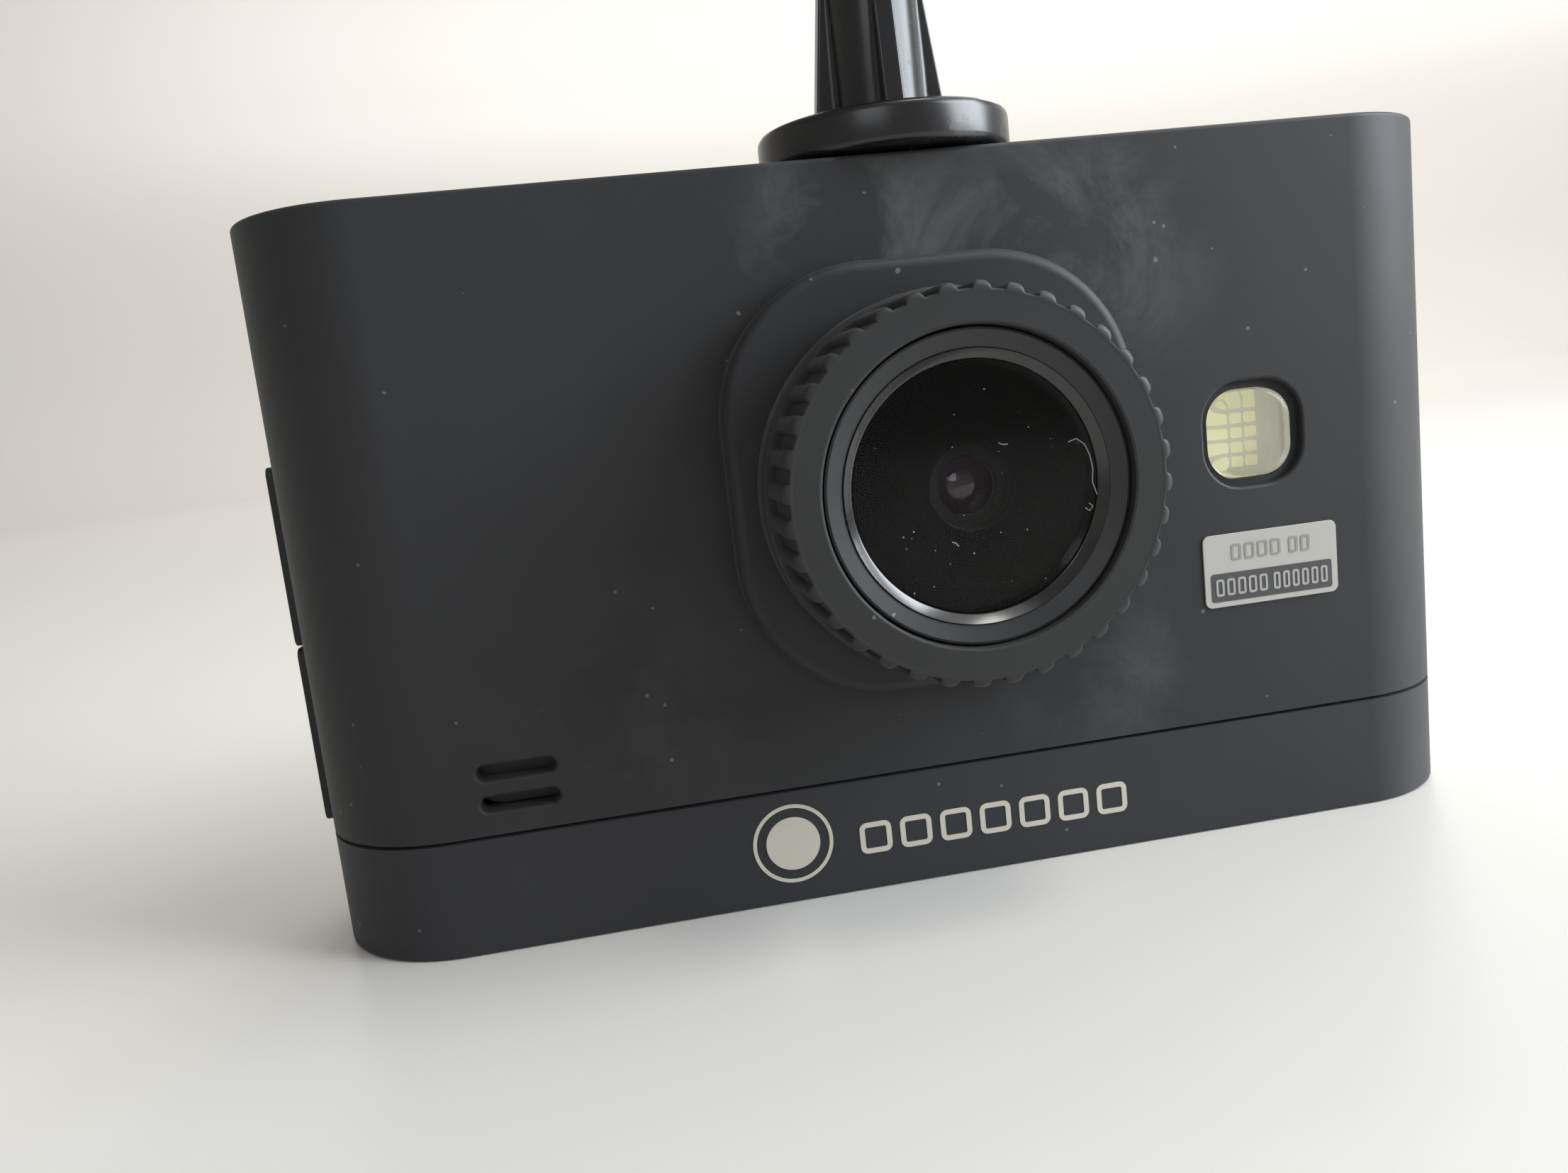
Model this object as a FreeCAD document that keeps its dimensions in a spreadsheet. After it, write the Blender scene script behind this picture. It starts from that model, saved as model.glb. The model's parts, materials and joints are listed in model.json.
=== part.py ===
"""Windscreen dash camera with a ball-joint suction mount, as a parametric assembly.

Frame: millimetres, +Z up. The lens looks along -Y and the display faces +Y. The origin is the
centre of the camera body's underside, on which the body can stand.
"""
import FreeCAD, Part
import math
import os
import re
import Sketcher

DIMENSIONS = {
    # camera body
    "body_width": 83.0,
    "body_depth": 20.0,
    "body_height": 48.5,
    "corner": 9.0,
    "wall": 1.6,
    "top_round": 0.3,
    "base_round": 0.3,
    "band_height": 7.8,
    "seam": 0.25,
    "rear_split": 6.0,
    "lip": 0.8,
    "lip_gap": 0.15,
    "lip_rise": 1.4,
    # lens, measured outwards from the front face
    "lens_x": 1.6,
    "lens_z": 27.45,
    "boss_width": 27.4,
    "boss_tall": 27.7,
    "boss_z": 27.95,
    "boss_corner": 9.7,
    "boss_rise": 2.3,
    "tube_radius": 9.25,
    "tube_reach": 10.1,
    "run_gap": 0.1,
    "ring_low": 2.6,
    "ring_top": 10.5,
    "ring_radius": 11.8,
    "ring_foot": 12.05,
    "groove_count": 36.0,
    "groove_floor": 11.33,
    "groove_wide": 0.88,
    "groove_length": 4.9,
    "bezel_radius": 8.1,
    "bezel_drop": 0.35,
    "glass_radius": 7.5,
    "glass_low": 8.15,
    "glass_thick": 1.2,
    "trim_rise": 0.5,
    "barrel_radius": 6.0,
    "iris_radius": 1.75,
    # lamp and label on the front
    "lamp_x": 24.5,
    "lamp_z": 27.95,
    "lamp_wide": 6.0,
    "lamp_tall": 6.0,
    "lamp_corner": 2.2,
    "label_x": 25.25,
    "label_z": 18.7,
    "label_wide": 10.0,
    "label_tall": 5.1,
    # sound slots
    "slot_x": -27.8,
    "slot_low_z": 10.1,
    "slot_pitch": 2.1,
    "slot_wide": 5.1,
    "slot_tall": 1.05,
    "mouth_round": 0.25,
    # boards, display and sockets
    "board_y": 1.6,
    "board_thick": 1.0,
    "board_low": 10.2,
    "board_top": 43.2,
    "panel_wide": 64.0,
    "panel_low": 10.0,
    "panel_top": 43.4,
    "screen_wide": 56.0,
    "screen_tall": 31.4,
    "usb_z": 35.0,
    "card_z": 20.5,
    # keys
    "key_travel": 0.4,
    "key_depth": 4.0,
    "key_proud": 0.5,
    "key_length": 12.32,
    "upper_key_z": 27.0,
    "lower_key_z": 14.5,
    "key_corner": 0.6,
    "button_x": -33.4,
    "button_wide": 5.2,
    "button_depth": 5.0,
    "button_proud": 1.45,
    "button_round": 0.4,
    # mount bracket
    "post_x": 2.2,
    "post_y": -3.0,
    "foot_wide": 13.0,
    "foot_thick": 1.5,
    "foot_low": 45.5,
    "foot_front": -7.6,
    "foot_long": 14.0,
    "foot_gap": 0.25,
    "neck_wide": 7.6,
    "disc_low": 48.75,
    "disc_top": 51.4,
    "disc_radius": 8.6,
    "core_radius": 3.1,
    "rib_reach": 4.6,
    "rib_thick": 1.3,
    "rib_top": 64.0,
    "ball_z": 72.5,
    "ball_radius": 6.0,
    "ball_neck": 2.3,
    # suction head, in a frame at the ball's centre whose z runs towards the windscreen
    "head_tilt": 20.0,
    "liner_inner": 6.08,
    "liner_outer": 7.3,
    "socket_inner": 7.4,
    "socket_outer": 9.2,
    "nut_inner": 9.35,
    "nut_outer": 11.4,
    "cup_offset": 17.0,
    "dome_low": 17.5,
    "dome_radius": 24.5,
    "dome_top": 27.0,
    "cup_radius": 26.0,
    "seal_z": 29.6,
    "pin_z": 11.75,
    "pin_radius": 1.25,
    "cam_radius": 4.2,
    "cam_shift": 1.25,
    "lever_reach": 27.5,
    # screws
    "screw_x": 33.2,
    "screw_front_y": -4.6,
    "screw_rear_y": 4.8,
    "pillar_radius": 2.0,
    "pillar_top": 12.0,
}

FACING = {
    "up": FreeCAD.Rotation(),
    "front": FreeCAD.Rotation(FreeCAD.Vector(1, 0, 0), 90),
    "back": FreeCAD.Rotation(FreeCAD.Vector(1, 0, 0), -90),
    "right": FreeCAD.Rotation(FreeCAD.Vector(1, 1, 1), 120),
}

doc = FreeCAD.newDocument("dash_camera")
sheet = doc.addObject("Spreadsheet::Sheet", "dims")
for row, (alias, value) in enumerate(DIMENSIONS.items(), start=1):
    sheet.set(f"A{row}", alias)
    sheet.set(f"B{row}", str(value))
    sheet.setAlias(f"B{row}", alias)
doc.recompute()

ALIASES = re.compile(r"\b(" + "|".join(DIMENSIONS) + r")\b")
nodes = []


# ---------------------------------------------------------------- building blocks
def linked(text):
    """Expression text in which every alias points at the sheet."""
    return ALIASES.sub(r"dims.\1", str(text))


def seat(item, origin, facing="up"):
    """Place an item by three expressions and a facing."""
    item.Placement = FreeCAD.Placement(FreeCAD.Vector(), FACING[facing])
    for axis, text in zip("xyz", origin):
        item.setExpression(f"Placement.Base.{axis}", linked(text))
    return item


def block(name, low, high):
    """Box between two opposite corners, each a triple of expressions."""
    item = doc.addObject("Part::Box", name)
    for size, start, end in zip(("Length", "Width", "Height"), low, high):
        item.setExpression(size, linked(f"({end}) - ({start})"))
    return seat(item, low)


def rod(name, origin, radius, length, facing="up"):
    """Cylinder that starts at its origin and runs the way it faces."""
    item = doc.addObject("Part::Cylinder", name)
    item.setExpression("Radius", linked(radius))
    item.setExpression("Height", linked(length))
    return seat(item, origin, facing)


def cone(name, origin, first_radius, last_radius, length):
    item = doc.addObject("Part::Cone", name)
    item.setExpression("Radius1", linked(first_radius))
    item.setExpression("Radius2", linked(last_radius))
    item.setExpression("Height", linked(length))
    return seat(item, origin)


def ball(name, origin, radius, south=-90, north=90):
    """Sphere, cut flat at a southern and a northern latitude."""
    item = doc.addObject("Part::Sphere", name)
    item.setExpression("Radius", linked(radius))
    item.Angle1 = south
    item.Angle2 = north
    return seat(item, origin)


def polygon_sketch(body, role, corners):
    """Closed outline on one of the body's origin planes, each corner held by two distances."""
    sketch = body.newObject("Sketcher::SketchObject", body.Name + "_outline")
    plane = next(item for item in body.Origin.OriginFeatures if item.Role == role)
    sketch.AttachmentSupport = [(plane, "")]
    sketch.MapMode = "FlatFace"
    count = len(corners)
    start_radius = 20.0
    turns = [2 * math.pi * index / count for index in range(count)]
    rough = [FreeCAD.Vector(start_radius * math.cos(turn), start_radius * math.sin(turn), 0)
             for turn in turns]
    for index in range(count):
        sketch.addGeometry(Part.LineSegment(rough[index], rough[(index + 1) % count]), False)
    for index in range(count):
        following = (index + 1) % count
        sketch.addConstraint(Sketcher.Constraint("Coincident", index, 2, following, 1))
    for index, corner in enumerate(corners):
        for kind, start, text in zip(("DistanceX", "DistanceY"), (rough[index].x, rough[index].y),
                                     corner):
            number = sketch.addConstraint(Sketcher.Constraint(kind, -1, 1, index, 1, start))
            sketch.setExpression(f"Constraints[{number}]", linked(text))
    return sketch


def padded(name, corners, thickness, origin, facing="up", midplane=False):
    """Plate with a polygon outline."""
    body = doc.addObject("PartDesign::Body", name)
    pad = body.newObject("PartDesign::Pad", name + "_pad")
    pad.Profile = polygon_sketch(body, "XY_Plane", corners)
    pad.setExpression("Length", linked(thickness))
    pad.Midplane = midplane
    return seat(body, origin, facing)


def rounded(body, radius, chosen):
    """Fillet the edges of a body's last feature that the test picks."""
    doc.recompute()
    last = body.Tip
    picked = [f"Edge{number}" for number, edge in enumerate(last.Shape.Edges, start=1) if chosen(edge)]
    fillet = body.newObject("PartDesign::Fillet", body.Name + "_round")
    fillet.Base = (last, picked)
    fillet.setExpression("Radius", linked(radius))
    doc.recompute()
    return fillet


def softened(name, item, radius, chosen):
    """Round the edges of a finished shape that the test picks."""
    doc.recompute()
    edges = [number for number, edge in enumerate(item.Shape.Edges, start=1) if chosen(edge)]
    fillet = doc.addObject("Part::Fillet", name)
    fillet.Base = item
    fillet.Edges = [(number, radius, radius) for number in edges]
    return fillet


def is_upright(edge):
    box = edge.BoundBox
    return box.ZLength > 1e-3 and box.XLength < 1e-6 and box.YLength < 1e-6


def at_height(height):
    """Test that picks the edges lying flat at one height of the body's own frame."""
    return lambda edge: abs(edge.BoundBox.ZMin - height) < 1e-4 and edge.BoundBox.ZLength < 1e-4


def slab(name, wide, tall, thick, corner, origin, facing="up"):
    """Plate centred on its origin, with rounded corners."""
    half_wide = f"({wide}) / 2"
    half_tall = f"({tall}) / 2"
    outline = [(f"-{half_wide}", f"-{half_tall}"), (half_wide, f"-{half_tall}"),
               (half_wide, half_tall), (f"-{half_wide}", half_tall)]
    body = padded(name, outline, thick, origin, facing)
    rounded(body, corner, is_upright)
    return body


def turned(name, profile, origin, facing="up"):
    """Solid of revolution about its own z, from corners given as radius and height."""
    body = doc.addObject("PartDesign::Body", name)
    sketch = polygon_sketch(body, "XZ_Plane", profile)
    spin = body.newObject("PartDesign::Revolution", name + "_turn")
    spin.Profile = sketch
    spin.ReferenceAxis = (sketch, ["V_Axis"])
    spin.Angle = 360
    return seat(body, origin, facing)


def fuse(name, *pieces):
    item = doc.addObject("Part::MultiFuse", name)
    item.Shapes = list(pieces)
    item.Refine = True
    return item


def cut(name, base, *tools):
    item = doc.addObject("Part::Cut", name)
    item.Base = base
    item.Tool = tools[0] if len(tools) == 1 else fuse(name + "_tools", *tools)
    item.Refine = True
    return item


def common(name, first, second):
    item = doc.addObject("Part::Common", name)
    item.Base = first
    item.Tool = second
    item.Refine = True
    return item


def group(name, *pieces):
    item = doc.addObject("Part::Compound", name)
    item.Links = list(pieces)
    return item


def node(item):
    """Register a finished sub-part: its label names its file."""
    item.Label = item.Name
    nodes.append(item)
    return item


HEAD_TURN = FreeCAD.Rotation(FreeCAD.Vector(1, 0, 0), DIMENSIONS["head_tilt"])


def on_head(item):
    """Carry a piece drawn in the suction head's frame to the ball, tilted with the head."""
    item.Placement = FreeCAD.Placement(FreeCAD.Vector(), HEAD_TURN)
    for axis, text in zip("xyz", ("post_x", "post_y", "ball_z")):
        item.setExpression(f"Placement.Base.{axis}", linked(text))
    item.setExpression("Placement.Rotation.Angle", linked("head_tilt"))
    return item


def lens_part(name, profile):
    """Turned part on the lens axis, its heights measured outwards from the front face."""
    return turned(name, profile, ("lens_x", "-body_depth / 2", "lens_z"), "front")


# ---------------------------------------------------------------- housing
SHELL_LOW = "band_height + seam"
WEB_LOW = "band_height + seam + lip_rise + 0.2"
PILLARS = [(side, y) for side in (-1, 1) for y in ("screw_front_y", "screw_rear_y")]
POSTS = [("-27", "41.2"), ("30", "41.2"), ("-15", "12.4"), ("14", "12.4")]
FLANGE_TURNS = (90, 210, 330)
FLANGE_BOLTS = 10.9


def flange_spot(turn):
    """X and Z of the flange screw at one turn about the lens axis."""
    return (f"lens_x + {FLANGE_BOLTS} * cos({turn} * 1deg)",
            f"lens_z + {FLANGE_BOLTS} * sin({turn} * 1deg)")


def shell_outline(name, inset, low, high):
    """Upright prism that follows the body's plan, moved inwards by an inset."""
    return slab(name, f"body_width - 2 * ({inset})", f"body_depth - 2 * ({inset})",
                f"({high}) - ({low})", f"corner - ({inset})", ("0", "0", low))


def front_cut(name, wide, tall, corner, x, z, deep):
    """Rounded cutter that enters the front face to a depth."""
    return slab(name, wide, tall, f"({deep}) + 5", corner, (x, f"-body_depth / 2 + ({deep})", z),
                "front")


def upper_shell(name):
    """Hollow upper body, before it is split into its front and rear shells."""
    outer = shell_outline(name + "_outer", "0", SHELL_LOW, "body_height")
    height = DIMENSIONS["body_height"] - DIMENSIONS["band_height"] - DIMENSIONS["seam"]
    rounded(outer, "top_round", at_height(height))
    inner = shell_outline(name + "_inner", "wall", "band_height - 2", "body_height - wall")
    rail_gap = block(name + "_rail_gap", ("post_x - 9.1", "-body_depth / 2 + wall", "body_height - 3"),
                     ("post_x + 9.1", "body_depth", "body_height + 1"))
    rail_end = block(name + "_rail_end", ("post_x - 9.1", "0", "44"),
                     ("post_x + 9.1", "body_depth", "body_height + 1"))
    return cut(name, outer, inner, rail_gap, rail_end)


def pillar_pair(name, y, low, high):
    """Two screw pillars at one y, joined to a wall by webs that span two y values, with pilot holes."""
    solids = []
    holes = []
    for side, mark in ((-1, "left"), (1, "right")):
        x = f"{side} * screw_x"
        solids.append(rod(f"{name}_{mark}", (x, y, "2.2"), "pillar_radius", "pillar_top - 2.2"))
        solids.append(block(f"{name}_web_{mark}", (f"{x} - 0.8", low, WEB_LOW),
                            (f"{x} + 0.8", high, "pillar_top")))
        holes.append(rod(f"{name}_pilot_{mark}", (x, y, "2"), "1", "7.8"))
    return solids, holes


def is_small_mouth(edge):
    """Whether an edge lies in the front face, round a sound slot or the lamp's recess."""
    box = edge.BoundBox
    middle = box.Center
    in_face = abs(box.YMin + DIMENSIONS["body_depth"] / 2) < 1e-4 and box.YLength < 1e-4
    near_slots = abs(middle.x - DIMENSIONS["slot_x"]) < 4 and 9 < middle.z < 14
    near_lamp = abs(middle.x - DIMENSIONS["lamp_x"]) < 5 and abs(middle.z - DIMENSIONS["lamp_z"]) < 5
    return in_face and (near_slots or near_lamp)


def make_front_shell():
    whole = upper_shell("front_whole")
    keep = block("front_keep", ("-body_width", "-body_depth", "0"),
                 ("body_width", "rear_split", "body_height + 1"))
    half = common("front_half", whole, keep)
    boss = slab("lens_boss", "boss_width", "boss_tall", "boss_rise + 0.5", "boss_corner",
                ("lens_x", "-body_depth / 2 + 0.5", "boss_z"), "front")
    rounded(boss, "0.8", at_height(DIMENSIONS["boss_rise"] + 0.5))
    posts = [rod(f"board_post_{number}", (x, "board_y", z), "1.8", "body_depth / 2 - 1 + board_y",
                 "front")
             for number, (x, z) in enumerate(POSTS)]
    pillars, pilots = pillar_pair("front_pillar", "screw_front_y", "-body_depth / 2 + 1",
                                  "screw_front_y")
    body = fuse("front_body", half, boss, *posts, *pillars)
    holes = list(pilots)
    holes.append(rod("lens_bore", ("lens_x", "0", "lens_z"), "tube_radius + 0.15", "20", "front"))
    holes.append(front_cut("lamp_recess", "lamp_wide + 1.2", "lamp_tall + 1.2", "lamp_corner + 0.5",
                           "lamp_x", "lamp_z", "0.6"))
    holes.append(front_cut("lamp_opening", "lamp_wide + 0.2", "lamp_tall + 0.2", "lamp_corner",
                           "lamp_x", "lamp_z", "wall + 0.5"))
    for number in range(2):
        holes.append(front_cut(f"sound_slot_{number}", "slot_wide", "slot_tall", "slot_tall / 2 - 0.01",
                               "slot_x", f"slot_low_z + {number} * slot_pitch", "wall + 0.5"))
    for number, (x, z) in enumerate(POSTS):
        holes.append(rod(f"post_pilot_{number}", (x, "board_y + 0.1", z), "0.8", "4", "front"))
    for turn in FLANGE_TURNS:
        x, z = flange_spot(turn)
        holes.append(rod(f"flange_pilot_{turn}", (x, "-body_depth / 2 + wall + 0.1", z), "0.8", "3.2",
                         "front"))
    holes.append(block("key_gap", ("-body_width", "-key_depth / 2 - 0.1", "band_height"),
                       ("-body_width / 2 + 4", "key_depth / 2 + 0.1",
                        "upper_key_z + key_length / 2 + 0.1")))
    holes.append(slab("button_gap", "button_wide + 0.2", "button_depth + 0.2", "10", "1.4",
                      ("button_x", "0", "body_height - 4")))
    holes.append(slab("usb_gap", "3.6", "8.6", "10", "1.2", ("body_width / 2 - 4", "0.3", "usb_z"),
                      "right"))
    holes.append(block("card_gap", ("body_width / 2 - 4", "2.85", "card_z - 5.7"),
                       ("body_width", "4.05", "card_z + 5.7")))
    sharp = cut("front_sharp", body, *holes)
    return node(softened("front_shell", sharp, DIMENSIONS["mouth_round"], is_small_mouth))


def make_rear_shell():
    whole = upper_shell("rear_whole")
    keep = block("rear_keep", ("-body_width", "rear_split", "0"),
                 ("body_width", "body_depth", "body_height + 1"))
    half = common("rear_half", whole, keep)
    pillars, pilots = pillar_pair("rear_pillar", "screw_rear_y", "screw_rear_y", "body_depth / 2 - 1")
    body = fuse("rear_body", half, *pillars)
    middle = "(panel_low + panel_top) / 2"
    recess = slab("panel_recess", "panel_wide + 0.2", "panel_top - panel_low + 0.2", "5", "1.5",
                  ("0", "body_depth / 2 - 1.1", middle), "back")
    opening = block("screen_opening", ("-screen_wide / 2", "rear_split", f"{middle} - screen_tall / 2"),
                    ("screen_wide / 2", "body_depth", f"{middle} + screen_tall / 2"))
    return node(cut("rear_shell", body, recess, opening, *pilots))


def make_bottom_cover():
    outer = shell_outline("cover_outer", "0", "0", "band_height")
    rounded(outer, "base_round", at_height(0))
    tongue = shell_outline("cover_tongue", "wall + lip_gap", "band_height - 1",
                           "band_height + seam + lip_rise")
    inside = shell_outline("cover_inside", "wall + lip_gap + lip", "wall", "band_height + 5")
    tools = [block("key_notch", ("-body_width", "-key_depth / 2 - 1.2", "band_height"),
                   ("-body_width / 2 + 4", "key_depth / 2 + 1.2", "band_height + 5"))]
    pads = []
    for side, y in PILLARS:
        mark = f"{'left' if side < 0 else 'right'}_{'front' if 'front' in y else 'rear'}"
        x = f"{side} * screw_x"
        pads.append(rod(f"cover_pad_{mark}", (x, y, "wall - 0.5"), "2.6", "1"))
        tools.append(rod(f"head_recess_{mark}", (x, y, "-1"), "2.1", "2.4"))
        tools.append(rod(f"screw_way_{mark}", (x, y, "-1"), "1.1", "5"))
    hollow = cut("cover_hollow", fuse("cover_solid", outer, tongue), inside)
    return node(cut("bottom_cover", fuse("cover_padded", hollow, *pads), *tools))


def make_slot_rail():
    top = "body_height"
    outer = block("rail_block", ("post_x - 9", "-body_depth / 2 + wall + 0.1", "44.1"),
                  ("post_x + 9", "body_depth / 2 - 0.1", top))
    ears = block("rail_ears", ("post_x - 12", "-body_depth / 2 + wall + 0.3", "45.8"),
                 ("post_x + 12", "rear_split - 0.1", "body_height - wall"))
    channel = block("rail_channel", ("post_x - foot_wide / 2 - foot_gap", "foot_front - foot_gap",
                                     "foot_low - foot_gap"),
                    ("post_x + foot_wide / 2 + foot_gap", "body_depth",
                     "foot_low + foot_thick + foot_gap"))
    gap = block("rail_gap", ("post_x - neck_wide / 2 - foot_gap", "foot_front - foot_gap", "foot_low"),
                ("post_x + neck_wide / 2 + foot_gap", "body_depth", f"{top} + 1"))
    return node(cut("slot_rail", fuse("rail_solid", outer, ears), channel, gap))


def make_display():
    middle = "(panel_low + panel_top) / 2"
    node(slab("display_window", "panel_wide", "panel_top - panel_low", "1", "1.4",
              ("0", "body_depth / 2 - 1.1", middle), "back"))
    node(block("lcd_module", ("-29", "rear_split - 0.4", "panel_low"), ("29", "8.3", "panel_top")))
    node(block("display_flex", ("-8", "board_y + board_thick", "12"),
               ("8", "rear_split - 0.4", "12.3")))


# ---------------------------------------------------------------- lens
def ring_groove(number):
    """Straight valley between two teeth of the turning ring, open outwards and to the front."""
    item = doc.addObject("Part::Box", f"groove_{number}")
    item.setExpression("Length", "2 mm")
    item.setExpression("Width", linked("groove_wide"))
    item.setExpression("Height", linked("groove_length + 1"))
    turn = FreeCAD.Rotation(FreeCAD.Vector(0, 0, 1), 360.0 * number / DIMENSIONS["groove_count"])
    angle = f"{number} * 360deg / groove_count"
    x = f"lens_x + groove_floor * cos({angle}) + groove_wide / 2 * sin({angle})"
    z = f"lens_z + groove_floor * sin({angle}) - groove_wide / 2 * cos({angle})"
    seat(item, (x, "-body_depth / 2 - ring_top + groove_length", z))
    item.Placement = FreeCAD.Placement(item.Placement.Base, FACING["front"] * turn)
    return item


def make_lens():
    tube = lens_part("tube_solid", [
        ("7.8", "-2.8"), ("12.2", "-2.8"), ("12.2", "-1.65"), ("tube_radius", "-1.65"),
        ("tube_radius", "3.9"), ("tube_radius - 0.4", "3.9"), ("tube_radius - 0.4", "4.9"),
        ("tube_radius", "4.9"), ("tube_radius", "tube_reach - 0.2"),
        ("tube_radius - 0.06", "tube_reach - 0.06"), ("tube_radius - 0.2", "tube_reach"),
        ("bezel_radius", "tube_reach - bezel_drop"), ("bezel_radius", "glass_low"),
        ("6.4", "glass_low"), ("6.4", "1"), ("7.8", "1")])
    ways = []
    for turn in FLANGE_TURNS:
        x, z = flange_spot(turn)
        ways.append(rod(f"flange_way_{turn}", (x, "-body_depth / 2 + 4", z), "0.9", "3", "front"))
    node(cut("lens_tube", tube, *ways))

    clip = lens_part("clip_ring", [("tube_radius - 0.35", "4"), ("9.9", "4"), ("9.9", "4.8"),
                                   ("tube_radius - 0.35", "4.8")])
    split = block("clip_split", ("lens_x - 2.5", "-body_depth", "lens_z"),
                  ("lens_x + 2.5", "0", "lens_z + 12"))
    node(cut("retaining_clip", clip, split))

    ring = lens_part("ring_solid", [
        ("tube_radius + run_gap", "ring_top"), ("ring_radius - 0.3", "ring_top"),
        ("ring_radius", "ring_top - 0.3"), ("ring_radius", "ring_top - groove_length"),
        ("ring_foot", "ring_top - groove_length - 0.25"), ("ring_foot", "ring_low"),
        ("10.1", "ring_low"), ("10.1", "5"), ("tube_radius + run_gap", "5")])
    grooves = [ring_groove(number) for number in range(int(DIMENSIONS["groove_count"]))]
    node(cut("knurled_ring", ring, *grooves))

    trim_inner = "glass_radius + 0.03"
    trim_outer = "bezel_radius - 0.05"
    glass_top = "glass_low + glass_thick"
    node(lens_part("trim_ring", [(trim_inner, "glass_low"), (trim_outer, "glass_low"),
                                 (trim_outer, f"{glass_top} + trim_rise"), (trim_inner, glass_top)]))
    node(lens_part("cover_glass", [("0", "glass_low"), ("glass_radius", "glass_low"),
                                   ("glass_radius", "glass_low + glass_thick"),
                                   ("0", "glass_low + glass_thick")]))
    node(lens_part("lens_barrel", [
        ("4.6", "-6.2"), ("barrel_radius", "-6.2"), ("barrel_radius", "2.5"), ("6.2", "2.5"),
        ("6.2", "7.6"), ("iris_radius", "7.6"), ("iris_radius", "6.9"), ("3.4", "6.9"), ("3.4", "-4.8"),
        ("4.6", "-4.8")]))
    node(lens_part("front_lens", [("0", "4.9"), ("3.35", "4.9"), ("3.35", "5.9"), ("2.4", "6.5"),
                                  ("1.2", "6.78"), ("0", "6.85")]))
    node(lens_part("rear_lens", [("0", "-4.6"), ("3.35", "-4.6"), ("3.35", "-3.4"), ("1.8", "-2.9"),
                                 ("0", "-2.7")]))
    base = block("holder_base", ("lens_x - 7.5", "-4.1", "lens_z - 7.5"),
                 ("lens_x + 7.5", "-2.1", "lens_z + 7.5"))
    sleeve = lens_part("holder_sleeve",
                       [("barrel_radius + 0.05", "-6.4"), ("7.5", "-6.4"), ("7.5", "0.6"),
                                         ("barrel_radius + 0.05", "0.6")])
    window = rod("holder_way", ("lens_x", "-3.5", "lens_z"), "barrel_radius + 0.05", "5", "front")
    pocket = block("holder_pocket", ("lens_x - 5", "-3.6", "lens_z - 5"),
                   ("lens_x + 5", "-2", "lens_z + 5"))
    node(cut("lens_holder", fuse("holder_solid", base, sleeve), window, pocket))
    node(block("image_sensor", ("lens_x - 4", "-3.1", "lens_z - 4"),
               ("lens_x + 4", "-2.1", "lens_z + 4")))
    node(block("sensor_board", ("lens_x - 9", "-2.1", "lens_z - 9"),
               ("lens_x + 9", "-1.1", "lens_z + 9")))
    node(block("board_connector", ("lens_x - 6", "-1.1", "lens_z - 8"),
               ("lens_x + 6", "board_y", "lens_z - 4")))


# ---------------------------------------------------------------- lamp, label and electronics
def make_lamp():
    pane = slab("lamp_pane", "lamp_wide", "lamp_tall", "2.15", "lamp_corner - 0.1",
                ("lamp_x", "-body_depth / 2 + 2.2", "lamp_z"), "front")
    rounded(pane, "0.5", at_height(2.15))
    flange = slab("lamp_flange", "lamp_wide + 2", "lamp_tall + 2", "0.6", "lamp_corner",
                  ("lamp_x", "-body_depth / 2 + wall + 0.65", "lamp_z"), "front")
    node(fuse("lamp_window", pane, flange))
    node(block("lamp_emitter", ("lamp_x - 1.9", "-7", "lamp_z - 2.3"),
               ("lamp_x + 1.9", "-6.2", "lamp_z + 2.3")))
    node(block("lamp_board", ("lamp_x - 4.5", "-6.2", "lamp_z - 5"),
               ("lamp_x + 4.5", "-5.2", "lamp_z + 5")))
    node(slab("info_label", "label_wide", "label_tall", "0.12", "0.5",
              ("label_x", "-body_depth / 2", "label_z"), "front"))


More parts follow.
